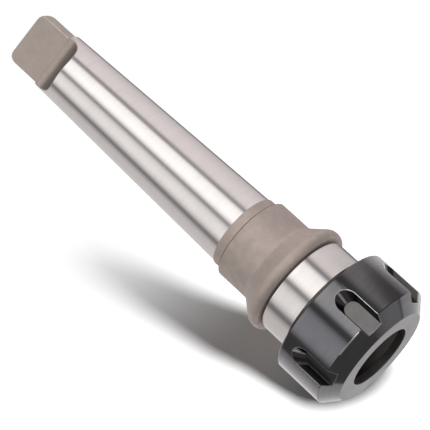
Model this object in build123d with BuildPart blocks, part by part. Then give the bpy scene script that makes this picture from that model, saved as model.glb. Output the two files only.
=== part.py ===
"""Collet chuck holder: a number 3 self-holding taper shank with a tang, and a 25 size slotted nut.

The holder stands on the front face of its nut. The origin is the centre of that face, +Z runs up
the axis to the tang, and the flats of the tang face along Y. All sizes are in millimetres.
"""

import os
from math import cos, radians, sin, sqrt, tan

from build123d import *

# Thread between nut and nose, 32 mm by 1.5: both pieces are left at their own core diameters
thread_radius = 16.0
thread_depth = 0.81
thread_clearance = 0.09

# Clamping nut, from its front face at height 0
nut_length = 20.0
nut_wall = 5.0
nut_cone_height = 4.1
nut_cone_width = 4.8
nut_rear_chamfer = 0.4
nut_front_land = 3.8
nut_front_wall = 2.4
nut_entry_chamfer = 0.9
ring_rib_height = 0.6
ring_rib_reach = 0.25

# Spanner slots, open to the front, with drafted walls and a sloping closed end
slot_count = 6
slot_phase = 55.0
slot_depth = 2.6
slot_floor_width = 5.0
slot_end_wall = 7.1
slot_side_draft = 0.3
slot_end_draft = 1.3
slot_overrun = 1.0

# Extractor ring inside the nut
ring_clearance = 0.05
ring_pass = 0.99
ring_length = 5.0
ring_cone_length = 3.8
ring_cone_angle = 30.0
ring_front_set = 0.3
ring_lip_reach = 0.3
ring_lip_offset = 0.35

# Nose, collet seat and clearance bore of the body
nose_gap = 0.5
nose_chamfer = 0.8
nose_wall = 2.1
seat_angle = 8.0
seat_length = 30.24
bore_length = 14.0
bore_point_angle = 59.0

# Neck, flange, collar and band of the body
neck_gap = 0.4
neck_length = 11.3
flange_step = 2.0
flange_rim_round = 3.2
flange_rim_set = 2.0
flare_angle = 38.0
collar_step = 1.35
collar_length = 11.5
collar_chamfer = 0.35
band_step = 0.3375
band_length = 3.25

# Number 3 self-holding taper and its tang
taper_gauge_diameter = 23.825
taper_length = 74.0
taper_rate = 0.050196
tang_step = 0.805
tang_length = 20.0
tang_thickness = 7.9
tang_flat_length = 13.0
tang_root_radius = 7.0
tang_corner_radius = 2.0
tang_edge_chamfer = 0.25
centre_hole_radius = 1.0
centre_hole_depth = 4.0
centre_cone_radius = 2.1
centre_cone_angle = 60.0

# Radii worked out from the sizes above
nut_thread_radius = thread_radius - thread_depth
nut_radius = thread_radius + nut_wall
nut_face_radius = nut_radius - nut_cone_width
slot_floor_height = nut_radius - slot_depth
slot_top_height = nut_radius + slot_overrun
ring_radius = nut_thread_radius - ring_pass
nut_hole_radius = ring_radius - nut_front_land
ring_front_radius = nut_hole_radius + ring_front_set
ring_cone_radius = ring_front_radius + ring_cone_length * tan(radians(ring_cone_angle))
ring_lip_radius = ring_cone_radius - ring_lip_reach
nose_radius = nut_thread_radius - thread_clearance
neck_radius = thread_radius
seat_mouth_radius = nose_radius - nose_wall
bore_radius = seat_mouth_radius - seat_length * tan(radians(seat_angle))
flange_radius = neck_radius + flange_step
rim_centre = flange_radius - flange_rim_round
rim_front_radius = rim_centre + sqrt(flange_rim_round**2 - flange_rim_set**2)
taper_gauge_radius = taper_gauge_diameter / 2
taper_end_radius = taper_gauge_radius - taper_length * taper_rate / 2
band_radius = taper_gauge_radius + band_step
collar_radius = band_radius + collar_step
tang_radius = taper_end_radius - tang_step

# Heights worked out from the sizes above
ring_bottom = nut_front_wall + ring_clearance
ring_top = ring_bottom + ring_length
rib_bottom = ring_top + ring_clearance
rib_top = rib_bottom + ring_rib_height
nose_bottom = rib_top + nose_gap
seat_top = nose_bottom + seat_length
bore_top = seat_top + bore_length
bore_point_top = bore_top + bore_radius / tan(radians(bore_point_angle))
neck_bottom = nut_length + neck_gap
flange_front = neck_bottom + neck_length
rim_height = flange_front + flange_rim_set
flare_start_radius = rim_centre + flange_rim_round * cos(radians(flare_angle))
flare_start_height = rim_height + flange_rim_round * sin(radians(flare_angle))
collar_bottom = flare_start_height + (flare_start_radius - collar_radius) / tan(radians(flare_angle))
collar_top = collar_bottom + collar_length
band_top = collar_top + band_length
taper_top = band_top + taper_length
total_height = taper_top + tang_length

os.makedirs("parts", exist_ok=True)


def rim_point(angle):
    """A point of the flange's rounded rim, at an angle in degrees up from square to the axis."""
    reach = flange_rim_round
    return (rim_centre + reach * cos(radians(angle)), rim_height + reach * sin(radians(angle)))


# Holder body: the outside is turned from one profile, radius across and height up
with BuildPart() as chuck_body:
    with BuildSketch(Plane.XZ):
        with BuildLine():
            nose_line = Polyline(
                (0, nose_bottom),
                (nose_radius - nose_chamfer, nose_bottom),
                (nose_radius, nose_bottom + nose_chamfer),
                (nose_radius, neck_bottom),
                (neck_radius, neck_bottom),
                (neck_radius, flange_front),
                (rim_front_radius, flange_front),
            )
            rim = ThreePointArc(nose_line @ 1, rim_point(0), rim_point(flare_angle))
            shank_line = Polyline(
                rim @ 1,
                (collar_radius, collar_bottom),
                (collar_radius, collar_top - collar_chamfer),
                (collar_radius - collar_chamfer, collar_top),
                (band_radius, collar_top),
                (band_radius, band_top),
                (taper_gauge_radius, band_top),
                (taper_end_radius, taper_top - tang_step),
                (tang_radius, taper_top),
                (tang_radius, total_height),
                (0, total_height),
            )
            Line(shank_line @ 1, nose_line @ 0)
        make_face()
    revolve(axis=Axis.Z)

    # Collet seat, clearance bore and drill point
    with BuildSketch(Plane.XZ):
        with BuildLine():
            Polyline(
                (0, nose_bottom),
                (seat_mouth_radius, nose_bottom),
                (bore_radius, seat_top),
                (bore_radius, bore_top),
                (0, bore_point_top),
                close=True,
            )
        make_face()
    revolve(axis=Axis.Z, mode=Mode.SUBTRACT)

    # Two flats are milled on the tang, each run out by the round cutter into the taper
    flat_height = tang_thickness / 2
    cutter_height = flat_height + tang_root_radius
    flat_bottom = total_height - tang_flat_length
    run_out_height = 2 * tang_radius
    with BuildSketch(Plane.YZ):
        for side in (1, -1):
            with BuildLine():
                root_arc = CenterArc(
                    (side * cutter_height, flat_bottom),
                    tang_root_radius,
                    90 + side * 90,
                    side * 90,
                )
                Polyline(
                    root_arc @ 0,
                    (side * flat_height, total_height - tang_edge_chamfer),
                    (side * (flat_height - tang_edge_chamfer), total_height),
                    (side * (flat_height - tang_edge_chamfer), total_height + 1),
                    (side * run_out_height, total_height + 1),
                    (side * run_out_height, flat_bottom - tang_root_radius),
                    root_arc @ 1,
                )
            make_face()
    extrude(amount=2 * tang_radius, both=True, mode=Mode.SUBTRACT)

    # The end of the tang has round corners and a centre hole
    with BuildSketch(Plane.XZ):
        with Locations((0, total_height - tang_corner_radius)):
            Rectangle(4 * tang_radius, 2 * tang_corner_radius)
        with Locations((0, total_height - 2 * tang_corner_radius)):
            RectangleRounded(2 * tang_radius, 4 * tang_corner_radius, tang_corner_radius, mode=Mode.SUBTRACT)
    extrude(amount=2 * tang_radius, both=True, mode=Mode.SUBTRACT)
    with Locations((0, 0, total_height)):
        CounterSinkHole(centre_hole_radius, centre_cone_radius, centre_hole_depth, centre_cone_angle)
chuck_body.part.label = "chuck_body"

# One spanner slot as a solid, drawn on planes that face out from the axis along X
radial_plane = Plane(origin=(0, 0, 0), x_dir=(0, 0, 1), z_dir=(1, 0, 0))


def slot_half_width(height):
    """Half the slot's width at a height above the nut's axis."""
    return slot_floor_width / 2 + slot_side_draft * (height - slot_floor_height)


def slot_straight_end(height):
    """Where the slot's straight walls end at a height above the nut's axis, and its round end starts."""
    round_end = nut_length - slot_end_wall + slot_end_draft * (height - slot_floor_height)
    return round_end - slot_half_width(height)


def slot_end_outline(height):
    """The half disc of the slot's round end at a height above the nut's axis."""
    half_width = slot_half_width(height)
    middle = slot_straight_end(height)
    with BuildSketch(radial_plane.offset(height)) as outline:
        with BuildLine():
            round_end = ThreePointArc((middle, -half_width), (middle + half_width, 0), (middle, half_width))
            Line(round_end @ 1, round_end @ 0)
        make_face()
    return outline.sketch


with BuildPart() as spanner_slot:
    # The straight stretch: its drafted section, drawn across the slot, runs from in front of the nut
    with BuildSketch(Plane.XY.offset(-slot_overrun)):
        Polygon(
            (slot_floor_height, -slot_half_width(slot_floor_height)),
            (slot_floor_height, slot_half_width(slot_floor_height)),
            (slot_top_height, slot_half_width(slot_top_height)),
            (slot_top_height, -slot_half_width(slot_top_height)),
            align=None,
        )
    extrude(amount=slot_overrun + slot_straight_end(slot_top_height))
    # It stops along the slope that joins the middles of the round end's arcs
    with BuildSketch(Plane.XZ):
        Polygon(
            (slot_floor_height, slot_straight_end(slot_floor_height)),
            (slot_top_height, slot_straight_end(slot_top_height)),
            (slot_floor_height, slot_straight_end(slot_top_height)),
            align=None,
        )
    extrude(amount=slot_floor_width, both=True, mode=Mode.SUBTRACT)
    # The round end widens and slopes back as it rises
    loft(sections=[slot_end_outline(slot_floor_height), slot_end_outline(slot_top_height)], ruled=True)

# Clamping nut: a turned shell with a threaded bore, a seat for the ring, and the slots
with BuildPart() as clamping_nut:
    with BuildSketch(Plane.XZ):
        with BuildLine():
            ring_seat_radius = ring_radius + ring_clearance
            rib_radius = ring_radius - ring_rib_reach
            Polyline(
                (nut_hole_radius, 0),
                (nut_face_radius, 0),
                (nut_radius, nut_cone_height),
                (nut_radius, nut_length - nut_rear_chamfer),
                (nut_radius - nut_rear_chamfer, nut_length),
                (nut_thread_radius + nut_entry_chamfer, nut_length),
                (nut_thread_radius, nut_length - nut_entry_chamfer),
                (nut_thread_radius, rib_top),
                (rib_radius, rib_top),
                (rib_radius, rib_bottom),
                (ring_seat_radius, rib_bottom),
                (ring_seat_radius, nut_front_wall),
                (nut_hole_radius, nut_front_wall),
                close=True,
            )
        make_face()
    revolve(axis=Axis.Z)
    with PolarLocations(0, slot_count, start_angle=slot_phase):
        add(spanner_slot.part, mode=Mode.SUBTRACT)
clamping_nut.part.label = "clamping_nut"

# Extractor ring: a cone in front that presses on the collet, and an off-centre lip behind it
with BuildPart() as extractor_ring:
    with BuildSketch(Plane.XZ):
        with BuildLine():
            Polyline(
                (ring_front_radius, ring_bottom),
                (ring_radius, ring_bottom),
                (ring_radius, ring_top),
                (0, ring_top),
                (0, ring_bottom + ring_cone_length),
                (ring_cone_radius, ring_bottom + ring_cone_length),
                close=True,
            )
        make_face()
    revolve(axis=Axis.Z)
    with Locations((ring_lip_offset, 0, ring_top)):
        Hole(ring_lip_radius, depth=ring_length - ring_cone_length)
extractor_ring.part.label = "extractor_ring"

export_step(chuck_body.part, "parts/chuck_body.step")
export_step(clamping_nut.part, "parts/clamping_nut.step")
export_step(extractor_ring.part, "parts/extractor_ring.step")
print("total height", round(total_height, 3), "nose", round(nose_bottom, 3), "seat top", round(seat_top, 3))
print("bore top", round(bore_top, 3), "collar", round(collar_bottom, 3), round(collar_top, 3))
print("band top", round(band_top, 3), "taper top", round(taper_top, 3))
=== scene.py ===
"""Collet chuck holder in its studio light: a taper shank with a tang, and a black slotted nut.

The holder's axis is Z and its nut's front face lies at height 0. Sizes in the classes are in
millimetres, and each mesh is made in metres around that axis, where its piece stands.
"""

import logging
from collections.abc import Sequence
from dataclasses import dataclass, field
from enum import Enum, IntEnum
from math import asin, atan2, copysign, cos, degrees, pi, radians, sin, tan
from typing import ClassVar

import bmesh
import bpy
from bmesh.types import BMesh, BMFace, BMVert
from bpy.types import Collection, Light, Material, Node, NodeSocket, NodeTree, Object
from mathutils import Matrix, Vector


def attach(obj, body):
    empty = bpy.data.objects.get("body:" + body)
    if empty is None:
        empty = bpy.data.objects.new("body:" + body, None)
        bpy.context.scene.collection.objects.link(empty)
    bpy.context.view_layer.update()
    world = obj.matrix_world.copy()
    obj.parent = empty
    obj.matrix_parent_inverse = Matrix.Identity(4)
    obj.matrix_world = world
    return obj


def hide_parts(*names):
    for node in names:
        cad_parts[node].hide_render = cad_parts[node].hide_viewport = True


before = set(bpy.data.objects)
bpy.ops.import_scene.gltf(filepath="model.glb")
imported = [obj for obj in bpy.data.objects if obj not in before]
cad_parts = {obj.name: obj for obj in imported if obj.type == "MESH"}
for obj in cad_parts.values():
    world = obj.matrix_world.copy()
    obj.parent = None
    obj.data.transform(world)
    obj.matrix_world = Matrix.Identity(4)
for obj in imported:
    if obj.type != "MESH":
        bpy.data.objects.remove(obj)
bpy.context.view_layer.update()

log = logging.getLogger("holder")

MM = 0.001
FULL_TURN = 2 * pi
MERGE_DISTANCE = 0.002 * MM
SEAM_GAP = 0.01
UP = Vector((0, 0, 1))
WHITE = (1, 1, 1, 1)

Triple = tuple[float, float, float]
Arcs = tuple[tuple[float, float], ...]


class Carrier(Enum):
    """The bodies that the pieces ride on."""

    HOLDER = "chuck_body"
    NUT = "clamping_nut"
    RING = "extractor_ring"


class RecordSlot(Enum):
    """The record's material slots."""

    HOLDER = "holder_steel"
    NUT = "black_oxide_steel"
    RING = "ring_steel"


class HolderSkin(IntEnum):
    """Material slots of the holder's body."""

    GROUND = 0
    TURNED = 1
    SATIN = 2
    MILLED = 3
    BROKEN_EDGE = 4
    # painted shade: a dark finish in the grooves, the relief by the nut and the collar's chamfer
    GROOVE = 5


class NutSkin(IntEnum):
    """Material slots of the clamping nut."""

    BLACK = 0
    # painted shade: slot floors and run-outs, a little darker than the nut's outside
    SLOT = 1
    # painted shade: near-black slot walls and rear chamfer
    SLOT_WALL = 2
    # slot rims, lighter for wear and as a painted highlight
    SLOT_EDGE = 3
    # painted highlight, partly rubbed wear: arcs of the front corner, some slot rims and the steep facets at the slots'
    # ends
    RUBBED_EDGE = 4
    FACE = 5
    # painted shade: the hole's wall, darkened
    HOLE = 6


@dataclass(frozen=True)
class Corner:
    """A corner of a turned profile: radius from the axis, height along it and its rounding, in millimetres."""

    radius: float
    height: float
    rounding: float = 0.0

    @property
    def place(self) -> Vector:
        """The corner as a 2-D vector, radius and height."""
        return Vector((self.radius, self.height))


def rounded_outline(corners: list[Corner], steps: int = 4) -> list[Vector]:
    """Rounds an open profile's corners with tangent arcs of a few straight steps, and returns its points."""
    points = [corners[0].place]
    for before, corner, after in zip(corners, corners[1:], corners[2:]):
        if corner.rounding == 0.0:
            points.append(corner.place)
            continue
        back = (before.place - corner.place).normalized()
        onward = (after.place - corner.place).normalized()
        half = back.angle(onward) / 2
        centre = corner.place + (back + onward).normalized() * corner.rounding / sin(half)
        start = corner.place + back * corner.rounding / tan(half) - centre
        sweep = (pi - 2 * half) * copysign(1.0, back.cross(onward))
        for step in range(steps + 1):
            points.append(centre + Matrix.Rotation(-sweep * step / steps, 2) @ start)
    points.append(corners[-1].place)
    return points


def turned(points: list[Vector], steps: int, start_angle: float, closed: bool) -> BMesh:
    """Spins a profile about the axis.

    Args:
        points: radius and height in millimetres.
        steps: flats round the axis.
        start_angle: direction of the first profile round the axis, in degrees.
        closed: True if the last point joins the first.

    Returns:
        A closed bmesh in metres, with its faces outwards.
    """
    bm = bmesh.new()
    direction = Vector((cos(radians(start_angle)), sin(radians(start_angle)), 0))
    verts = [bm.verts.new(direction * point.x * MM + Vector((0, 0, point.y * MM))) for point in points]
    pairs = list(zip(verts, verts[1:])) + ([(verts[-1], verts[0])] if closed else [])
    edges = [bm.edges.new(pair) for pair in pairs]
    bmesh.ops.spin(
        bm, geom=verts + edges, cent=(0, 0, 0), axis=(0, 0, 1), angle=FULL_TURN, steps=steps, use_merge=True
    )
    bmesh.ops.remove_doubles(bm, verts=bm.verts, dist=MERGE_DISTANCE)
    bmesh.ops.recalc_face_normals(bm, faces=bm.faces)
    return bm


def lofted(bm: BMesh, rings: list[list[Vector]]) -> None:
    """Adds a closed shape that runs through rings of points in metres, by extruding the first ring's face."""
    verts = [bm.verts.new(place) for place in rings[0]]
    face = bm.faces.new(verts)
    for number, ring in enumerate(rings[1:]):
        grown = bmesh.ops.extrude_face_region(bm, geom=[face])["geom"]
        if number > 0:
            bmesh.ops.delete(bm, geom=[face], context="FACES_ONLY")
        risen = {tuple(item.co): item for item in grown if isinstance(item, BMVert)}
        face = next(item for item in grown if isinstance(item, BMFace))
        verts = [risen[tuple(vert.co)] for vert in verts]
        for vert, place in zip(verts, ring):
            vert.co = place


@dataclass(frozen=True)
class ThreadRidge:
    """The ridge of a screw thread, wound about the axis.

    Args:
        root_radius: where the ridge stands, a little inside the metal, in millimetres.
        crest_radius: its top.
        start: height of its first turn's middle.
        turns: how many turns it has.
        pitch: climb in one turn.
        crest_width: width of the flat at its top.
        flank_angle: slope of its sides, in degrees.
        fade_turns: share of a turn over which each end sinks into the metal.
        steps: flats in one turn.
    """

    root_radius: float
    crest_radius: float
    start: float
    turns: float
    pitch: float = 1.5
    crest_width: float = 0.24
    flank_angle: float = 30.0
    fade_turns: float = 0.35
    steps: int = 96

    def add_to(self, bm: BMesh) -> None:
        """Winds the ridge as a closed shell of its own in the given bmesh."""
        rise = abs(self.crest_radius - self.root_radius)
        root_half = self.crest_width / 2 + rise * tan(radians(self.flank_angle))
        section = (
            (self.root_radius, -root_half),
            (self.crest_radius, -self.crest_width / 2),
            (self.crest_radius, self.crest_width / 2),
            (self.root_radius, root_half),
        )
        ridge = bmesh.new()
        verts = [ridge.verts.new((r * MM, 0, (self.start + h) * MM)) for r, h in section]
        face = ridge.faces.new(verts)
        count = round(self.turns * self.steps)
        bmesh.ops.spin(
            ridge,
            geom=[face],
            cent=(0, 0, 0),
            axis=(0, 0, 1),
            dvec=(0, 0, self.pitch * MM / self.steps),
            angle=FULL_TURN * count / self.steps,
            steps=count,
        )
        bmesh.ops.holes_fill(ridge, edges=[e for e in ridge.edges if e.is_boundary])
        self._sink_ends(ridge)
        bmesh.ops.recalc_face_normals(ridge, faces=ridge.faces)
        mesh = bpy.data.meshes.new("ridge")
        ridge.to_mesh(mesh)
        ridge.free()
        bm.from_mesh(mesh)
        bpy.data.meshes.remove(mesh)

    def _sink_ends(self, ridge: BMesh) -> None:
        """Lets the ridge fade into the metal at both ends."""
        last = self.start + self.turns * self.pitch
        fade = self.fade_turns * self.pitch
        for vert in ridge.verts:
            height = vert.co.z / MM
            share = min(1.0, max(0.0, min(height - self.start, last - height) / fade))
            radius = Vector(vert.co[:2]).length
            sunk = self.root_radius * MM + (radius - self.root_radius * MM) * share
            vert.co.x *= sunk / radius
            vert.co.y *= sunk / radius


def object_from(bm: BMesh, name: str) -> Object:
    """Makes an object of a bmesh in metres, links it to the scene and frees the bmesh."""
    mesh = bpy.data.meshes.new(name)
    bm.to_mesh(mesh)
    bm.free()
    made = bpy.data.objects.new(name, mesh)
    bpy.context.scene.collection.objects.link(made)
    return made


def cut(target: Object, cutter: Object) -> None:
    """Takes the cutter's closed shape out of the target, and removes the cutter.

    The target's mesh is replaced. The new faces keep the cutter's material index.
    """
    modifier = target.modifiers.new("cut", "BOOLEAN")
    modifier.operation = "DIFFERENCE"
    modifier.solver = "EXACT"
    modifier.material_mode = "INDEX"
    modifier.object = cutter
    graph = bpy.context.evaluated_depsgraph_get()
    result = bpy.data.meshes.new_from_object(target.evaluated_get(graph))
    old = target.data
    target.modifiers.clear()
    target.data = result
    result.name = old.name
    bpy.data.meshes.remove(old)
    bpy.data.meshes.remove(cutter.data)


def break_edges(bm: BMesh, inner: set[int], width: float, skin: int, least: float = 25.0) -> None:
    """Rounds the sharp edges where cut faces meet the piece's own skin.

    Args:
        bm: the piece.
        inner: material indices of the cut faces.
        width: how far the rounding reaches, in millimetres.
        skin: material index of the rounding.
        least: least turn between the two faces, in degrees.
    """
    edges = []
    for edge in bm.edges:
        cut_faces = [face for face in edge.link_faces if face.material_index in inner]
        if len(edge.link_faces) == 2 and len(cut_faces) == 1 and edge.calc_face_angle(0) > radians(least):
            edges.append(edge)
    bmesh.ops.bevel(
        bm,
        geom=edges,
        offset=width * MM,
        offset_type="OFFSET",
        segments=3,
        profile=0.5,
        affect="EDGES",
        clamp_overlap=False,
        material=skin,
    )


class NodeKit:
    """Short calls for building a node tree."""

    def __init__(self, tree: NodeTree) -> None:
        """Keeps the tree that the calls add to."""
        self.tree = tree

    def add(self, kind: str, **values: object) -> Node:
        """Adds a node of a kind, and fills it."""
        node = self.tree.nodes.new(kind)
        self.fill(node, **values)
        return node

    def fill(self, node: Node, **values: object) -> None:
        """Sets a node's properties and inputs by name.

        Args:
            node: the node.
            **values: property names, or input names with underscores for spaces. An input takes
                a value or a socket to link.
        """
        for name, value in values.items():
            label = name.replace("_", " ")
            if label in node.inputs:
                self.feed([node.inputs[label]], value)
            else:
                setattr(node, name, value)

    def math(self, operation: str, first: object, second: object = 0.0, clamp: bool = False) -> NodeSocket:
        """Adds a Math node on two values or sockets, and returns its result."""
        node = self.add("ShaderNodeMath", operation=operation, use_clamp=clamp)
        self.feed(node.inputs, first, second)
        return node.outputs[0]

    def weighed(self, first: object, second: object, share: float) -> NodeSocket:
        """Adds two values by the first's share, and returns the sum."""
        return self.math("ADD", self.math("MULTIPLY", first, share), self.math("MULTIPLY", second, 1 - share))

    def feed(self, inputs: Sequence[NodeSocket], *values: object) -> None:
        """Gives inputs their values in turn. A value that is a socket is linked."""
        for socket, value in zip(inputs, values):
            if isinstance(value, NodeSocket):
                self.tree.links.new(value, socket)
            else:
                socket.default_value = value

    def noise(self, coordinates: NodeSocket, scale: NodeSocket, detail: float, contrast: object) -> NodeSocket:
        """Adds a noise, spread about its middle and kept between 0 and 1.

        Args:
            coordinates: where it is read.
            scale: vector that the coordinates are multiplied by.
            detail: its detail.
            contrast: how far its values are spread.

        Returns:
            Its value.
        """
        stretch = self.add("ShaderNodeVectorMath", operation="MULTIPLY")
        self.feed(stretch.inputs, coordinates, scale)
        value = self.add("ShaderNodeTexNoise", Vector=stretch.outputs[0], Scale=1.0, Detail=detail).outputs["Fac"]
        centred = self.math("SUBTRACT", value, 0.5)
        return self.math("ADD", self.math("MULTIPLY", centred, contrast), 0.5, clamp=True)

    def mixed(self, share: object, first: object, second: object) -> NodeSocket:
        """Mixes two shaders by the second's share, and returns the result."""
        node = self.add("ShaderNodeMixShader")
        self.feed(node.inputs, share, first, second)
        return node.outputs[0]


def noise_group(name: str, inputs: dict[str, float], noises: dict[str, tuple[str, str, float]]) -> NodeTree:
    """Makes a node group of noises that lie still in the piece.

    Args:
        name: the group's name.
        inputs: its inputs with their usual values.
        noises: its outputs, each with the input that counts it across the axis, the input that
            counts it along the axis, and its detail.

    Returns:
        The group.
    """
    group = bpy.data.node_groups.new(name, "ShaderNodeTree")
    for label, value in inputs.items():
        group.interface.new_socket(label, in_out="INPUT", socket_type="NodeSocketFloat").default_value = value
    for label in noises:
        group.interface.new_socket(label, in_out="OUTPUT", socket_type="NodeSocketFloat")
    kit = NodeKit(group)
    given = kit.add("NodeGroupInput").outputs
    result = kit.add("NodeGroupOutput")
    place = kit.add("ShaderNodeTexCoord").outputs["Object"]
    for label, (across, along, detail) in noises.items():
        scale = kit.add("ShaderNodeCombineXYZ", X=given[across], Y=given[across], Z=given[along]).outputs[0]
        kit.fill(result, **{label: kit.noise(place, scale, detail, given["Contrast"])})
    return group


class SurfaceEffects:
    """The node groups that the finishes share, each made once."""

    def __init__(self) -> None:
        """Builds the fine lines of turning and grinding, and the clouds and speckle of blasting and blackening."""
        self.turning_grain = noise_group(
            "turning grain",
            {"Lines per metre": 5000.0, "Along per metre": 90.0, "Contrast": 1.0},
            {"Grain": ("Along per metre", "Lines per metre", 3.0)},
        )
        clouds, specks = "Clouds per metre", "Specks per metre"
        self.mottle = noise_group(
            "mottle",
            {clouds: 260.0, specks: 2600.0, "Contrast": 1.0},
            {"Clouds": (clouds, clouds, 2.0), "Specks": (specks, specks, 1.0)},
        )


@dataclass(frozen=True)
class SteelFinish:
    """A steel surface.

    Args:
        name: the material's name.
        dark: colour in the hollows of its grain.
        light: colour on its high spots.
        smooth: roughness of its smoothest spots.
        rough: roughness of its roughest spots.
        metallic: share of bare metal.
        anisotropy: stretch of its highlights across the grain.
        lines: turning lines per metre, 0 for none.
        grain_bump: height of the lines in metres.
        clouds: soft clouds per metre.
        specks: specks per metre.
        speck_bump: height of the specks in metres.
    """

    name: str
    dark: Triple
    light: Triple
    smooth: float
    rough: float
    metallic: float = 1.0
    anisotropy: float = 0.0
    lines: float = 0.0
    grain_bump: float = 0.0
    clouds: float = 260.0
    specks: float = 2600.0
    speck_bump: float = 0.0

    CLOUD_SHARE: ClassVar[float] = 0.6
    GRAIN_SHARE: ClassVar[float] = 0.55
    MOTTLE_CONTRAST: ClassVar[float] = 1.6
    GRAIN_CONTRAST: ClassVar[float] = 1.8

    def material(self, effects: SurfaceEffects) -> Material:
        """Builds the finish as a material, with the shared node groups."""
        made = bpy.data.materials.new(self.name)
        made.use_nodes = True
        kit = NodeKit(made.node_tree)
        shader = made.node_tree.nodes["Principled BSDF"]
        mottle = kit.add("ShaderNodeGroup", node_tree=effects.mottle, Contrast=self.MOTTLE_CONTRAST)
        kit.fill(mottle, Clouds_per_metre=self.clouds, Specks_per_metre=self.specks)
        clouds, specks = mottle.outputs["Clouds"], mottle.outputs["Specks"]
        mask = kit.weighed(clouds, specks, self.CLOUD_SHARE)
        height = kit.math("MULTIPLY", specks, self.speck_bump)
        if self.lines > 0:
            turning = kit.add("ShaderNodeGroup", node_tree=effects.turning_grain, Contrast=self.GRAIN_CONTRAST)
            kit.fill(turning, Lines_per_metre=self.lines)
            grain = turning.outputs["Grain"]
            mask = kit.weighed(grain, mask, self.GRAIN_SHARE)
            height = kit.math("ADD", height, kit.math("MULTIPLY", grain, self.grain_bump))
        colour = kit.add("ShaderNodeMix", data_type="RGBA")
        kit.feed((colour.inputs[0], *colour.inputs[6:8]), mask, (*self.dark, 1), (*self.light, 1))
        roughness = kit.add("ShaderNodeMapRange", Value=mask, To_Min=self.rough, To_Max=self.smooth)
        bump = kit.add("ShaderNodeBump", Strength=1.0, Distance=1.0, Height=height)
        kit.fill(
            shader,
            Metallic=self.metallic,
            Anisotropic=self.anisotropy,
            Base_Color=colour.outputs[2],
            Roughness=roughness.outputs[0],
            Normal=bump.outputs[0],
        )
        if self.anisotropy > 0:
            tangent = kit.add("ShaderNodeTangent", direction_type="RADIAL", axis="Z")
            kit.fill(shader, Tangent=tangent.outputs[0])
        return made


GROUND_STEEL = SteelFinish(
    "ground_steel", (0.6, 0.575, 0.565), (0.72, 0.695, 0.69), 0.12, 0.2, anisotropy=0.55, lines=5200.0, grain_bump=6e-7
)
TURNED_STEEL = SteelFinish(
    "turned_steel", (0.555, 0.53, 0.52), (0.67, 0.645, 0.64), 0.11, 0.18, anisotropy=0.5, lines=3600.0, grain_bump=7e-7
)
SATIN_STEEL = SteelFinish(
    "satin_steel", (0.465, 0.394, 0.36), (0.62, 0.525, 0.482), 0.5, 0.62,
    metallic=0.5, clouds=420.0, specks=3200.0, speck_bump=1.2e-5,
)
MILLED_STEEL = SteelFinish(
    "milled_satin_steel", (0.38, 0.33, 0.298), (0.49, 0.425, 0.385), 0.32, 0.42, clouds=320.0, speck_bump=8e-6
)
BROKEN_EDGE_STEEL = SteelFinish("broken_edge_steel", (0.42, 0.36, 0.325), (0.56, 0.49, 0.445), 0.32, 0.45)
# Painted shade: dark steel for the grooves, the relief by the nut and the collar's chamfer.
PAINTED_CREASE_SHADE_STEEL = SteelFinish("groove_steel", (0.17, 0.145, 0.13), (0.27, 0.235, 0.21), 0.5, 0.62)
BLACK_OXIDE = SteelFinish(
    "black_oxide", (0.115, 0.114, 0.12), (0.172, 0.17, 0.178), 0.1, 0.16,
    lines=2600.0, grain_bump=8e-7, clouds=180.0, specks=2400.0, speck_bump=2e-6,
)
# Painted shade: slot floors a little darker than the nut's outside.
BLACK_SLOT_PAINTED_SHADE = SteelFinish(
    "black_oxide_slot", (0.1, 0.098, 0.096), (0.145, 0.141, 0.139), 0.13, 0.19, clouds=300.0, speck_bump=4e-6
)
# Painted shade: near-black slot walls and rear chamfer, darker than the rest of the nut.
BLACK_PAINTED_SHADE = SteelFinish(
    "black_oxide_slot_wall", (0.042, 0.041, 0.04), (0.066, 0.065, 0.063), 0.26, 0.36, speck_bump=4e-6
)
# Slot rims: lighter for wear, and as a painted highlight.
SLOT_EDGE = SteelFinish("worn_slot_edge", (0.16, 0.158, 0.155), (0.44, 0.435, 0.43), 0.26, 0.38, clouds=220.0)
# Painted highlight, partly rubbed wear: bright on a few edges.
RUBBED_EDGE = SteelFinish("rubbed_black_edge", (0.52, 0.515, 0.51), (0.84, 0.83, 0.82), 0.22, 0.32, clouds=600.0)
# Painted shade: the hole's wall darkened.
BLACK_HOLE_PAINTED_SHADE = SteelFinish(
    "black_oxide_hole_wall", (0.085, 0.082, 0.08), (0.145, 0.141, 0.137), 0.36, 0.48, metallic=0.35
)
BLACK_FACE = SteelFinish(
    "black_oxide_face", (0.17, 0.168, 0.172), (0.235, 0.232, 0.236), 0.32, 0.44, lines=2400.0, grain_bump=6e-7
)
# Painted shade: the ring's steel is darkened for the shade inside the nut's hole.
RING_STEEL_PAINTED_SHADE = SteelFinish(
    "ring_steel", (0.125, 0.12, 0.114), (0.21, 0.203, 0.192), 0.34, 0.48, metallic=0.4, lines=3000.0, grain_bump=6e-7
)


def dress(
    piece: Object, finishes: tuple[SteelFinish, ...], effects: SurfaceEffects, sharp_angle: float = 40.0
) -> None:
    """Gives a piece its finishes in the order of its skins, and smooth shading set by its large faces."""
    for finish in finishes:
        piece.data.materials.append(finish.material(effects))
    piece.data.shade_smooth()
    piece.data.set_sharp_from_angle(angle=radians(sharp_angle))
    modifier = piece.modifiers.new("even shading", "WEIGHTED_NORMAL")
    modifier.mode = "FACE_AREA"
    modifier.weight = 100
    modifier.keep_sharp = True
    log.info("%s: %d faces", piece.name, len(piece.data.polygons))


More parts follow.
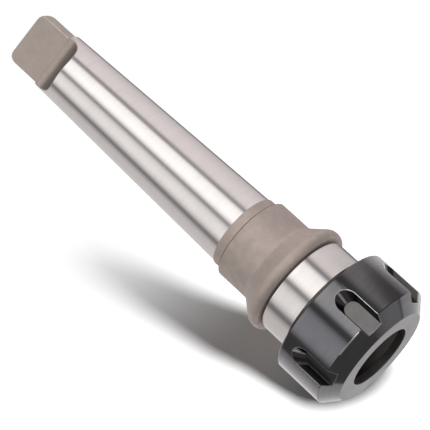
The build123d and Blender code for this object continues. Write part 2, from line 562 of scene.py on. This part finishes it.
@dataclass
class HolderBody:
    """The holder's body: nose, neck, flange, collar, band, taper shank and tang, turned from one bar.

    Heights are in millimetres from the nut's front face.
    """

    effects: SurfaceEffects
    nose_bottom: float = 8.6
    nose_core_radius: float = 15.06
    nose_chamfer: float = 0.8
    thread_radius: float = 15.94
    seat_mouth_radius: float = 13.0
    seat_top: float = 38.84
    bore_radius: float = 8.75
    bore_top: float = 52.84
    bore_point_top: float = 58.1
    neck_bottom: float = 20.4
    neck_radius: float = 16.0
    relief_top: float = 21.85
    groove_depth: float = 0.2
    groove_width: float = 0.32
    flange_front: float = 31.7
    rim_centre_radius: float = 14.8
    rim_height: float = 33.7
    rim_rounding: float = 3.2
    flare_angle: float = 38.0
    collar_radius: float = 13.6
    collar_bottom: float = 40.434
    collar_top: float = 51.934
    collar_chamfer: float = 0.35
    band_radius: float = 12.25
    band_top: float = 55.184
    gauge_radius: float = 11.9125
    taper_end_radius: float = 10.055
    taper_top: float = 129.184
    ground_top: float = 137.0
    tang_radius: float = 9.25
    tang_top: float = 149.184
    tang_half_thickness: float = 3.95
    tang_flat_length: float = 13.0
    tang_root_radius: float = 7.0
    tang_corner: float = 2.0
    tang_edge: float = 0.28
    centre_hole_radius: float = 1.0
    centre_cone_radius: float = 2.1
    centre_cone_angle: float = 30.0
    centre_hole_depth: float = 4.0
    centre_point: float = 0.6
    edge: float = 0.18
    thread_sink: float = 0.06
    thread_start: float = 0.9
    thread_turns: float = 7.0
    satin_step: float = 0.65
    rim_steps: int = 12
    steps: int = 96
    name: str = "holder_body"

    def _profile(self) -> list[Corner]:
        """The outside and inside of the body as one profile, from drill point to centre hole."""
        core, neck, collar, top = self.nose_core_radius, self.neck_radius, self.collar_radius, self.tang_top
        grooved = neck - self.groove_depth
        slope = radians(self.flare_angle)
        reach = self.rim_rounding
        front_angle = -asin((self.rim_height - self.flange_front) / reach)
        rim = []
        for step in range(self.rim_steps + 1):
            angle = front_angle + (slope - front_angle) * step / self.rim_steps
            radius = self.rim_centre_radius + reach * cos(angle)
            rim.append(Corner(radius, self.rim_height + reach * sin(angle)))
        groove_bottom = self.flange_front - self.groove_width
        taper = (self.gauge_radius - self.taper_end_radius) / (self.taper_top - self.band_top)
        ground_end_radius = self.taper_end_radius - taper * (self.ground_top - self.taper_top)
        bevel = ground_end_radius - self.tang_radius
        cone_depth = self.centre_cone_radius - self.centre_hole_radius
        cone_height = cone_depth / tan(radians(self.centre_cone_angle))
        return [
            Corner(0, self.bore_point_top),
            Corner(self.bore_radius, self.bore_top, 0.3),
            Corner(self.bore_radius, self.seat_top, 1.0),
            Corner(self.seat_mouth_radius, self.nose_bottom, 0.25),
            Corner(core - self.nose_chamfer, self.nose_bottom, self.edge),
            Corner(core, self.nose_bottom + self.nose_chamfer, self.edge),
            Corner(core, self.neck_bottom, 0.12),
            Corner(grooved, self.neck_bottom, 0.1),
            Corner(grooved, self.relief_top - self.groove_depth, 0.08),
            Corner(neck, self.relief_top, 0.08),
            Corner(neck, groove_bottom - self.groove_depth / 2, 0.08),
            Corner(grooved, groove_bottom, 0.08),
            Corner(grooved, self.flange_front, 0.1),
            *rim,
            Corner(collar, self.collar_bottom, 3.0),
            Corner(collar, self.collar_top - self.collar_chamfer, 0.12),
            Corner(collar - self.collar_chamfer, self.collar_top, 0.12),
            Corner(self.band_radius, self.collar_top, 0.15),
            Corner(self.band_radius, self.band_top, 0.12),
            Corner(self.gauge_radius, self.band_top, 0.1),
            Corner(ground_end_radius, self.ground_top - bevel, 0.2),
            Corner(self.tang_radius, self.ground_top, 0.2),
            Corner(self.tang_radius, top, self.tang_corner),
            Corner(self.centre_cone_radius, top, 0.08),
            Corner(self.centre_hole_radius, top - cone_height, 0.05),
            Corner(self.centre_hole_radius, top - self.centre_hole_depth),
            Corner(0, top - self.centre_hole_depth - self.centre_point),
        ]

    def _skin_at(self, radius: float, height: float) -> HolderSkin:
        """Which finish the body has at a radius and height in millimetres."""
        touch, step, seat_margin = 0.05, 0.3, 1.0
        if height > self.ground_top - self.satin_step:
            return HolderSkin.SATIN
        outside = radius > self.seat_mouth_radius - seat_margin or height > self.collar_top
        if outside and height > self.band_top + touch:
            return HolderSkin.GROUND
        # The grooves, the relief beside the nut and the collar's chamfer take a dark painted shade.
        in_groove = abs(height - self.flange_front) < self.groove_width + touch and radius < self.neck_radius + step
        in_relief = radius > self.nose_core_radius + step and height < self.relief_top
        on_chamfer = self.collar_top - self.collar_chamfer < height < self.collar_top
        if (outside and in_groove) or in_relief or (on_chamfer and radius > self.band_radius + step):
            return HolderSkin.GROOVE
        on_rim = height > self.flange_front - touch and radius > self.neck_radius + step
        if outside and (on_rim or height > self.flange_front + step):
            return HolderSkin.SATIN
        return HolderSkin.TURNED

    def _tang_cutter(self) -> Object:
        """What the mill takes off both sides of the tang, with a round run-out into the taper."""
        bm = bmesh.new()
        overrun, steps = 3.0, 18
        top, far = self.tang_top + overrun, self.tang_radius + overrun
        root = self.tang_root_radius
        root_height = self.tang_top - self.tang_flat_length
        for side in (1, -1):
            outline = [(side * far, top), (side * self.tang_half_thickness, top)]
            for step in range(steps + 1):
                angle = pi / 2 * step / steps
                across = self.tang_half_thickness + root * (1 - cos(angle))
                outline.append((side * across, root_height - root * sin(angle)))
            outline.append((side * far, root_height - root))
            face = bm.faces.new([bm.verts.new((-far * MM, y * MM, z * MM)) for y, z in outline])
            grown = bmesh.ops.extrude_face_region(bm, geom=[face])["geom"]
            moved = [item for item in grown if isinstance(item, BMVert)]
            bmesh.ops.translate(bm, vec=(2 * far * MM, 0, 0), verts=moved)
        bmesh.ops.recalc_face_normals(bm, faces=bm.faces)
        for face in bm.faces:
            face.material_index = HolderSkin.MILLED
        return object_from(bm, "tang_cutter")

    def build(self) -> Object:
        """Builds the body, gives it its finishes and returns it."""
        bm = turned(rounded_outline(self._profile()), self.steps, 0.0, closed=False)
        for face in bm.faces:
            middle = face.calc_center_median() / MM
            face.material_index = self._skin_at(Vector(middle[:2]).length, middle.z)
        piece = object_from(bm, self.name)
        cut(piece, self._tang_cutter())
        bm = bmesh.new()
        bm.from_mesh(piece.data)
        break_edges(bm, {HolderSkin.MILLED}, self.tang_edge, HolderSkin.BROKEN_EDGE)
        foot, start = self.nose_core_radius - self.thread_sink, self.nose_bottom + self.thread_start
        ThreadRidge(foot, self.thread_radius, start, self.thread_turns).add_to(bm)
        bm.to_mesh(piece.data)
        bm.free()
        finishes = (GROUND_STEEL, TURNED_STEEL, SATIN_STEEL, MILLED_STEEL, BROKEN_EDGE_STEEL, PAINTED_CREASE_SHADE_STEEL)
        dress(piece, finishes, self.effects)
        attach(piece, Carrier.HOLDER.value)
        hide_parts("chuck_body")
        return piece


@dataclass
class ClampingNut:
    """The clamping nut: a turned black shell with six spanner slots and a threaded bore."""

    effects: SurfaceEffects
    length: float = 20.0
    radius: float = 21.0
    face_radius: float = 16.2
    cone_height: float = 4.1
    rear_chamfer: float = 0.4
    hole_radius: float = 10.4
    front_wall: float = 2.4
    seat_radius: float = 14.25
    rib_radius: float = 13.95
    rib_bottom: float = 7.5
    rib_top: float = 8.1
    bore_radius: float = 16.06
    thread_radius: float = 15.22
    thread_sink: float = 0.06
    thread_start: float = 0.65
    thread_turns: float = 6.6
    entry_chamfer: float = 0.9
    slot_count: int = 6
    slot_phase: float = 55.0
    slot_floor: float = 18.4
    slot_floor_width: float = 5.0
    slot_end: float = 12.9
    slot_side_draft: float = 0.3
    slot_end_draft: float = 1.3
    slot_bottom_rounding: float = 0.12
    slot_overrun: float = 1.5
    slot_front: float = -1.0
    slot_steps: int = 24
    slot_edge: float = 0.15
    floor_slope: float = 0.9
    run_out_slope: float = 0.54
    # Where the nut's rubbed finish goes, partly wear and partly a painted highlight: steep facets at the slots' ends,
    # arcs of the front corner and some slot rims.
    scuff_and_highlight_slope: float = 0.606
    worn_and_highlight_arcs: Arcs = ((-97.0, -74.5), (82.0, 96.0))
    worn_and_highlight_rims: Arcs = ((-58.5, -53.0), (62.0, 67.0))
    steps: int = 96
    name: str = "nut"

    def _profile(self) -> list[Corner]:
        """The nut's closed section, from the hole's front edge round to itself."""
        return [
            Corner(self.hole_radius, self.front_wall / 2),
            Corner(self.hole_radius, 0, 0.3),
            Corner(self.face_radius, 0, 0.3),
            Corner(self.radius, self.cone_height, 0.5),
            Corner(self.radius, self.length - self.rear_chamfer, 0.15),
            Corner(self.radius - self.rear_chamfer, self.length, 0.15),
            Corner(self.bore_radius + self.entry_chamfer, self.length, 0.12),
            Corner(self.bore_radius, self.length - self.entry_chamfer, 0.12),
            Corner(self.bore_radius, self.rib_top),
            Corner(self.rib_radius, self.rib_top, 0.1),
            Corner(self.rib_radius, self.rib_bottom, 0.1),
            Corner(self.seat_radius, self.rib_bottom),
            Corner(self.seat_radius, self.front_wall),
            Corner(self.hole_radius, self.front_wall, 0.12),
            Corner(self.hole_radius, self.front_wall / 2 + SEAM_GAP),
        ]

    def _skin_at(self, place: Vector, normal: Vector) -> NutSkin:
        """Which finish the nut has, by a face's middle in millimetres and its outward direction."""
        near, hole_margin, corner_depth, level = 0.2, 0.1, 0.3, 0.99
        radius = Vector(place[:2]).length
        if place.z < near and abs(normal.z) > level:
            return NutSkin.FACE
        if place.z < self.front_wall and radius < self.hole_radius + hole_margin:
            return NutSkin.HOLE
        # Arcs of the front corner take a painted highlight, partly wear.
        at_corner = abs(place.z - self.cone_height) < near and radius > self.radius - corner_depth
        if at_corner and self._within(self.worn_and_highlight_arcs, place):
            return NutSkin.RUBBED_EDGE
        # The rear chamfer takes the painted shade, a dark line next to the neck.
        if place.z > self.length - self.rear_chamfer and radius > self.radius - self.rear_chamfer - near:
            return NutSkin.SLOT_WALL
        return NutSkin.BLACK

    @staticmethod
    def _within(arcs: Arcs, place: Vector) -> bool:
        """Whether a place lies in one of the arcs, which are in degrees round the axis from +X."""
        turn = degrees(atan2(place.y, place.x))
        return any((turn - first) % 360 < last - first for first, last in arcs)

    def _slot_ring(self, height: float, inset: float) -> list[tuple[float, float]]:
        """The slot's outline at a height over the axis, drawn in by an inset: along the axis and across it."""
        above = height - self.slot_floor
        half_width = self.slot_floor_width / 2 + self.slot_side_draft * above
        middle = self.slot_end + self.slot_end_draft * above - half_width
        half_width -= inset
        points = [(self.slot_front, -half_width)]
        for step in range(self.slot_steps + 1):
            angle = pi * step / self.slot_steps - pi / 2
            points.append((middle + half_width * cos(angle), half_width * sin(angle)))
        points.append((self.slot_front, half_width))
        return points

    def _slot_cutter(self) -> Object:
        """The spanner slots as closed shapes, with rounded bottom edges."""
        bm = bmesh.new()
        rounding, bends = self.slot_bottom_rounding, 3
        layers = []
        for step in range(bends + 1):
            angle = pi / 2 * step / bends
            layers.append((self.slot_floor + rounding * (1 - cos(angle)), rounding * (1 - sin(angle))))
        layers.append((self.radius + self.slot_overrun, 0.0))
        for index in range(self.slot_count):
            turn = self._slot_turn(index)
            rings = []
            for height, inset in layers:
                ring = self._slot_ring(height, inset)
                rings.append([turn @ Vector((height * MM, across * MM, along * MM)) for along, across in ring])
            lofted(bm, rings)
        bmesh.ops.recalc_face_normals(bm, faces=bm.faces)
        for face in bm.faces:
            middle = face.calc_center_median()
            turns = (degrees(atan2(middle.y, middle.x)) - self.slot_phase) / 360
            outward = self._slot_turn(round(turns * self.slot_count)) @ Vector((1, 0, 0))
            face.material_index = self._slot_skin(abs(face.normal.dot(outward)), abs(face.normal.z))
        return object_from(bm, "slot_cutter")

    def _slot_skin(self, outward: float, along: float) -> NutSkin:
        """Which finish a slot's face has, by how far it looks outward and along the axis."""
        # Steep facets at a slot's end take a painted highlight, partly wear; walls take a dark painted shade, floors
        # and run-outs a lighter one.
        if along > self.scuff_and_highlight_slope:
            return NutSkin.RUBBED_EDGE
        return NutSkin.SLOT if outward > self.floor_slope or along > self.run_out_slope else NutSkin.SLOT_WALL

    def _slot_turn(self, index: int) -> Matrix:
        """The turn that brings a slot from +X to its own place."""
        return Matrix.Rotation(radians(self.slot_phase + index * 360 / self.slot_count), 3, "Z")

    def build(self) -> Object:
        """Builds the nut, gives it its finishes and returns it."""
        bm = turned(rounded_outline(self._profile()), self.steps, self.slot_phase, closed=True)
        for face in bm.faces:
            face.material_index = self._skin_at(face.calc_center_median() / MM, face.normal)
        piece = object_from(bm, self.name)
        cut(piece, self._slot_cutter())
        bm = bmesh.new()
        bm.from_mesh(piece.data)
        # The slot rims get a lighter finish, partly wear and partly a painted highlight; some rims get the brighter
        # rubbed finish, also a painted highlight.
        break_edges(bm, {NutSkin.SLOT, NutSkin.SLOT_WALL, NutSkin.RUBBED_EDGE}, self.slot_edge, NutSkin.SLOT_EDGE)
        for face in bm.faces:
            if face.material_index == NutSkin.SLOT_EDGE and self._within(self.worn_and_highlight_rims, face.calc_center_median()):
                face.material_index = NutSkin.RUBBED_EDGE
        foot, start = self.bore_radius + self.thread_sink, self.rib_top + self.thread_start
        ThreadRidge(foot, self.thread_radius, start, self.thread_turns).add_to(bm)
        bm.to_mesh(piece.data)
        bm.free()
        finishes = (BLACK_OXIDE, BLACK_SLOT_PAINTED_SHADE, BLACK_PAINTED_SHADE, SLOT_EDGE, RUBBED_EDGE, BLACK_FACE, BLACK_HOLE_PAINTED_SHADE)
        dress(piece, finishes, self.effects)
        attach(piece, Carrier.NUT.value)
        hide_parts("clamping_nut")
        return piece


@dataclass
class ExtractorRing:
    """The ring in the nut's front that pulls the collet out, with an off-centre lip."""

    effects: SurfaceEffects
    bottom: float = 2.45
    length: float = 5.0
    radius: float = 14.2
    front_radius: float = 10.7
    cone_length: float = 3.8
    cone_angle: float = 30.0
    lip_radius: float = 12.594
    lip_offset: float = 0.35
    lip_stock: float = 1.0
    seam_height: float = 1.0
    edge: float = 0.12
    steps: int = 96
    name: str = "pull_ring"

    def _profile(self) -> list[Corner]:
        """The ring's closed section before the lip is bored."""
        cone_radius = self.front_radius + self.cone_length * tan(radians(self.cone_angle))
        lip_bottom = self.bottom + self.cone_length
        top = self.bottom + self.length
        uncut_radius = self.lip_radius - self.lip_offset - self.lip_stock
        return [
            Corner(self.radius, self.bottom + self.seam_height),
            Corner(self.radius, self.bottom, self.edge),
            Corner(self.front_radius, self.bottom, self.edge),
            Corner(cone_radius, lip_bottom),
            Corner(uncut_radius, lip_bottom),
            Corner(uncut_radius, top),
            Corner(self.radius, top, self.edge),
            Corner(self.radius, self.bottom + self.seam_height + SEAM_GAP),
        ]

    def build(self) -> Object:
        """Builds the ring, gives it its finish and returns it."""
        bm = turned(rounded_outline(self._profile()), self.steps, 0.0, closed=True)
        piece = object_from(bm, self.name)
        lip_bottom = self.bottom + self.cone_length
        depth = self.length - self.cone_length + self.lip_stock
        borer = bmesh.new()
        bmesh.ops.create_cone(
            borer,
            cap_ends=True,
            segments=self.steps,
            radius1=self.lip_radius * MM,
            radius2=self.lip_radius * MM,
            depth=depth * MM,
            matrix=Matrix.Translation((self.lip_offset * MM, 0, (lip_bottom + depth / 2) * MM)),
        )
        cut(piece, object_from(borer, "lip_borer"))
        dress(piece, (RING_STEEL_PAINTED_SHADE,), self.effects)
        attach(piece, Carrier.RING.value)
        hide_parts("extractor_ring")
        return piece


@dataclass(frozen=True)
class ViewAxes:
    """Directions of the photograph in the holder's own frame, for placing lights and floor.

    Args:
        facing: direction round the axis, in degrees from +X, that faces the camera.
    """

    facing: float = -79.4

    def outward(self, turn: float) -> Vector:
        """A level direction, turned from the camera's towards the photograph's upper right."""
        angle = radians(self.facing + turn)
        return Vector((cos(angle), sin(angle), 0))

    def direction(self, turn: float, climb: float) -> Vector:
        """A direction at a turn round the axis and a climb towards the tang, in degrees."""
        level = cos(radians(climb))
        return self.outward(turn) * level + UP * sin(radians(climb))


@dataclass(frozen=True)
class PhotoCamera:
    """The camera at the photograph's place."""

    place: Triple = (0.093220, -0.498115, -0.116740)
    right: Triple = (0.618381, 0.371403, -0.692577)
    up: Triple = (0.765742, -0.086537, 0.637300)
    lens: float = 153.478
    sensor: float = 36.0

    def build(self) -> None:
        """Puts the camera in the scene and makes it the one that renders."""
        data = bpy.data.cameras.new("photo_camera")
        data.lens = self.lens
        data.sensor_width = self.sensor
        data.clip_start = 0.01
        data.clip_end = 20.0
        camera = bpy.data.objects.new("photo_camera", data)
        right = Vector(self.right).normalized()
        up = (Vector(self.up) - right * right.dot(Vector(self.up))).normalized()
        turn = Matrix((right, up, right.cross(up))).transposed()
        camera.matrix_world = Matrix.Translation(self.place) @ turn.to_4x4()
        bpy.context.scene.collection.objects.link(camera)
        bpy.context.scene.camera = camera


def group_of(name: str, members: list[Object]) -> Collection:
    """Makes a collection of some objects."""
    group = bpy.data.collections.new(name)
    for member in members:
        group.objects.link(member)
    return group


def hang(light: Object, receivers: list[Object], blockers: list[Object]) -> None:
    """Puts a light in the scene, to shine on the receivers alone and to be shaded by the blockers alone."""
    light.light_linking.receiver_collection = group_of(f"{light.name}_receivers", receivers)
    light.light_linking.blocker_collection = group_of(f"{light.name}_blockers", blockers)
    bpy.context.scene.collection.objects.link(light)


@dataclass(frozen=True)
class StripLight:
    """A long soft light beside the holder.

    Args:
        name: the light's name.
        first: where its face starts, in degrees round the axis from the camera.
        last: where its face ends.
        radiance: brightness of its brightest part.
        levels: brightness at even steps from its first to its last side, as shares of the brightest.
        colour: its colour.
        low: lowest climb that it covers, in degrees.
        high: highest climb that it covers.
        distance: distance from the axis in metres.
        only: name of the one piece that it lights, or nothing for all pieces.
    """

    name: str
    first: float
    last: float
    radiance: float
    levels: tuple[float, ...]
    colour: Triple = (1.0, 1.0, 1.0)
    low: float = -25.0
    high: float = 50.0
    distance: float = 0.9
    only: str = ""

    def build(self, axes: ViewAxes, centre: Vector, pieces: list[Object]) -> None:
        """Hangs the light, unseen, to face the centre and to shine on its share of the pieces."""
        middle = (self.first + self.last) / 2
        half_turn = radians(self.last - self.first) / 2
        bottom = self.distance * tan(radians(self.low))
        top = self.distance * tan(radians(self.high))
        data = bpy.data.lights.new(self.name, "AREA")
        data.shape = "RECTANGLE"
        data.size = 2 * self.distance * tan(half_turn)
        data.size_y = top - bottom
        data.color = self.colour
        data.energy = self.radiance * pi * data.size * data.size_y
        self._shade(data)
        light = bpy.data.objects.new(self.name, data)
        outward = axes.outward(middle)
        turn = Matrix((UP.cross(outward), UP, outward)).transposed()
        place = centre + outward * self.distance + UP * (top + bottom) / 2
        light.matrix_world = Matrix.Translation(place) @ turn.to_4x4()
        light.visible_camera = False
        hang(light, [piece for piece in pieces if self.only in piece.name], pieces)

    def _shade(self, data: Light) -> None:
        """Gives the light's face its levels from side to side."""
        data.use_nodes = True
        kit = NodeKit(data.node_tree)
        face = kit.add("ShaderNodeNewGeometry").outputs["Parametric"]
        across = kit.add("ShaderNodeSeparateXYZ", Vector=face).outputs["X"]
        ramp = kit.add("ShaderNodeValToRGB")
        kit.feed(ramp.inputs, across)
        stops = ramp.color_ramp.elements
        for step, level in enumerate(self.levels):
            place = step / (len(self.levels) - 1)
            stop = stops[step] if step < 2 else stops.new(place)
            stop.position = place
            stop.color = (level, level, level, 1)
        kit.fill(data.node_tree.nodes["Emission"], Strength=ramp.outputs[0])


@dataclass(frozen=True)
class ShadowFlag:
    """A long card between the high light and the floor, which gives the soft shadow its shape.

    Args:
        outline: its corners, along the floor towards the tang, across it, and height over it.
    """

    outline: tuple[Triple, ...] = (
        (104.9, 3.4, 40.0), (90.6, -0.5, 29.0), (74.2, -2.6, 24.0), (58.2, -4.1, 19.0), (43.2, -6.8, 14.0),
        (27.1, -12.4, 10.0), (14.6, -28.0, 8.0), (6.6, -23.2, 7.0), (-5.3, -17.0, 14.0), (-7.1, -7.6, 14.0),
        (-5.6, -0.1, 14.0), (-1.8, 6.9, 14.0), (4.3, 11.4, 13.0), (12.4, 12.9, 10.0), (25.2, 12.9, 13.0),
        (39.2, 14.6, 17.0), (51.8, 14.1, 21.0), (65.0, 13.6, 26.0), (88.0, 11.8, 34.0),
    )

    def build(self, origin: Vector, normal: Vector) -> Object:
        """Hangs the card, unseen, over the floor, from where the nut's rim meets it, and returns it."""
        along = (UP - normal * normal.z).normalized()
        across = normal.cross(along)
        bm = bmesh.new()
        verts = [bm.verts.new(origin + (along * u + across * v + normal * w) * MM) for u, v, w in self.outline]
        bmesh.ops.triangulate(bm, faces=[bm.faces.new(verts)])
        card = object_from(bm, "shadow_flag")
        card.visible_camera = False
        card.visible_glossy = False
        card.visible_diffuse = False
        return card


@dataclass
class Studio:
    """The pale floor under the lying holder, and the lights."""

    axes: ViewAxes = field(default_factory=ViewAxes)
    flag: ShadowFlag = field(default_factory=ShadowFlag)
    floor_turn: float = 35.0
    floor_tilt: float = 14.8
    contact_radius: float = 21.0
    contact_height: float = 4.1
    floor_gap: float = 0.1
    floor_size: float = 6.0
    fade_start: float = 38.0
    fade_end: float = 122.0
    sun_turn: float = 51.7
    sun_climb: float = 8.0
    sun_softness: float = 27.0
    sun_strength: float = 4.6
    paper_colour: tuple[float, float, float, float] = (0.82, 0.82, 0.82, 1)
    paper_roughness: float = 0.9
    ambient: float = 0.15
    reflected: float = 0.22
    reflected_colour: tuple[float, float, float, float] = (1, 0.97, 0.97, 1)
    light_height: float = 75.0
    strips: tuple[StripLight, ...] = (
        StripLight(
            "right_strip", 48.5, 150.0, 0.81, (0.0, 0.97, 1.0, 0.94, 0.84, 0.70, 0.54, 0.35), (1.0, 0.93, 0.93),
            low=11.5, high=66.0, only="holder",
        ),
        StripLight(
            "key_strip", -11.0, 43.5, 1.38, (0.09, 0.77, 1.0, 1.0, 0.95, 0.9, 0.87, 0.18), (1.0, 0.99, 0.975),
            high=66.0, only="holder",
        ),
        StripLight(
            "left_strip", -74.0, -17.0, 0.96, (0.1, 0.66, 0.95, 1.0, 0.95, 0.84, 0.3), (1.0, 0.985, 0.965),
            low=2.0, high=60.0, only="holder",
        ),
        StripLight(
            "nut_pink_strip", 54.0, 150.0, 0.81, (0.1, 0.78, 0.84, 0.9, 0.82, 0.68, 0.54, 0.35), (1.0, 0.93, 0.93),
            low=11.5, high=66.0, only="nut",
        ),
        StripLight(
            "nut_key_strip", -7.0, 43.0, 1.5, (0.1, 0.93, 1.0, 0.98, 0.9, 0.84, 0.8, 0.15), (1.0, 0.985, 0.975),
            high=66.0, only="nut",
        ),
        StripLight(
            "nut_cool_strip", -67.0, -16.5, 1.06, (0.2, 0.86, 1.0, 1.0, 0.95, 0.84, 0.3), (0.95, 0.96, 1.0),
            low=2.0, high=60.0, only="nut",
        ),
        StripLight(
            "hole_strip", -50.0, -20.0, 6.0, (1.0, 1.0), (1.0, 0.985, 0.96),
            low=-42.0, high=-14.0, only="pull_ring",
        ),
        StripLight(
            "far_left_strip", -172.0, -85.0, 0.55, (1.0, 1.0, 1.0, 1.0, 0.95, 0.35), (1.0, 0.965, 0.96),
            low=0.0, only="holder",
        ),
        StripLight(
            "nut_left_strip", -172.0, -106.0, 0.95, (0.85, 1.0, 0.95, 0.35), (1.0, 0.97, 0.97),
            low=0.0, only="nut",
        ),
        StripLight("nut_right_strip", 108.0, 172.0, 0.72, (0.3, 0.8, 1.0, 1.0), (1.0, 0.97, 0.97), low=0.0, only="nut"),
        StripLight("back_strip", 115.0, 245.0, 0.86, (1.0, 1.0), (1.0, 0.985, 0.98), low=-55.0, high=-2.0),
        StripLight("low_right_strip", 80.0, 140.0, 0.42, (0.3, 1.0, 1.0), (1.0, 0.97, 0.975), low=-79.0, high=-46.0),
    )

    def _floor(self, contact: Vector, normal: Vector) -> Object:
        """A large pale plane that the nut's rim touches, clear when seen from below."""
        bm = bmesh.new()
        bmesh.ops.create_grid(bm, x_segments=2, y_segments=2, size=self.floor_size / 2)
        turn = normal.to_track_quat("Z", "Y").to_matrix().to_4x4()
        place = Matrix.Translation(contact - normal * self.floor_gap * MM)
        bmesh.ops.transform(bm, matrix=place @ turn, verts=bm.verts)
        floor = object_from(bm, "floor")
        floor.data.materials.append(self._floor_material())
        floor.visible_glossy = False
        floor.visible_diffuse = False
        floor.visible_shadow = False
        return floor

    def _floor_material(self) -> Material:
        """Matt white paper, clear from its back, that fades to a plain white glow towards the tang's end, a painted
        light that washes out the shadow there.
        """
        made = bpy.data.materials.new("floor_paper")
        made.use_nodes = True
        kit = NodeKit(made.node_tree)
        paper = made.node_tree.nodes["Principled BSDF"]
        kit.fill(paper, Base_Color=self.paper_colour, Roughness=self.paper_roughness, Specular_IOR_Level=0.0)
        place = kit.add("ShaderNodeTexCoord").outputs["Object"]
        height = kit.add("ShaderNodeSeparateXYZ", Vector=place).outputs["Z"]
        start, end = self.fade_start * MM, self.fade_end * MM
        fade = kit.add(
            "ShaderNodeMapRange", interpolation_type="SMOOTHSTEP", Value=height, From_Min=start, From_Max=end
        )
        # Painted light: a white glow over the paper that lifts the cast shadow towards the tang.
        white = kit.add("ShaderNodeEmission", Color=WHITE, Strength=1.0)
        faded = kit.mixed(fade.outputs[0], paper.outputs[0], white.outputs[0])
        back = kit.add("ShaderNodeNewGeometry").outputs["Backfacing"]
        seen = kit.mixed(back, faded, kit.add("ShaderNodeBsdfTransparent").outputs[0])
        kit.fill(made.node_tree.nodes["Material Output"], Surface=seen)
        return made

    def _world(self) -> None:
        """White behind everything, and a dim even light on the pieces."""
        world = bpy.data.worlds.new("studio")
        bpy.context.scene.world = world
        world.use_nodes = True
        kit = NodeKit(world.node_tree)
        world.node_tree.nodes.clear()
        rays = kit.add("ShaderNodeLightPath").outputs
        ambient = kit.add("ShaderNodeBackground", Color=WHITE, Strength=self.ambient)
        glossy = kit.add("ShaderNodeBackground", Color=self.reflected_colour, Strength=self.reflected)
        white = kit.add("ShaderNodeBackground", Color=WHITE, Strength=1.0)
        soft = kit.mixed(rays["Is Glossy Ray"], ambient.outputs[0], glossy.outputs[0])
        kit.add("ShaderNodeOutputWorld", Surface=kit.mixed(rays["Is Camera Ray"], soft, white.outputs[0]))

    def _sun(self, floor: Object, flag: Object) -> None:
        """The high light that throws the flag's soft shadow on the floor."""
        data = bpy.data.lights.new("floor_sun", "SUN")
        data.angle = radians(self.sun_softness)
        data.energy = self.sun_strength
        sun = bpy.data.objects.new("floor_sun", data)
        towards = self.axes.direction(self.sun_turn, self.sun_climb)
        sun.matrix_world = towards.to_track_quat("Z", "Y").to_matrix().to_4x4()
        hang(sun, [floor], [flag])

    def build(self, pieces: list[Object]) -> None:
        """Builds the floor and the lights round the holder's pieces."""
        normal = self.axes.direction(self.floor_turn, self.floor_tilt)
        contact = self.axes.outward(self.floor_turn) * -self.contact_radius * MM
        contact.z = self.contact_height * MM
        floor = self._floor(contact, normal)
        self._world()
        self._sun(floor, self.flag.build(contact, normal))
        for strip in self.strips:
            strip.build(self.axes, UP * self.light_height * MM, pieces)
        bpy.context.scene.view_settings.view_transform = "Standard"
        log.info("studio: %d strip lights", len(self.strips))


def main() -> None:
    """Builds the holder's pieces in order, then the studio and the camera."""
    logging.basicConfig(level=logging.INFO, format="%(name)s %(message)s")
    effects = SurfaceEffects()
    pieces = [HolderBody(effects).build(), ClampingNut(effects).build(), ExtractorRing(effects).build()]
    Studio().build(pieces)
    PhotoCamera().build()


if __name__ == "__main__":
    main()
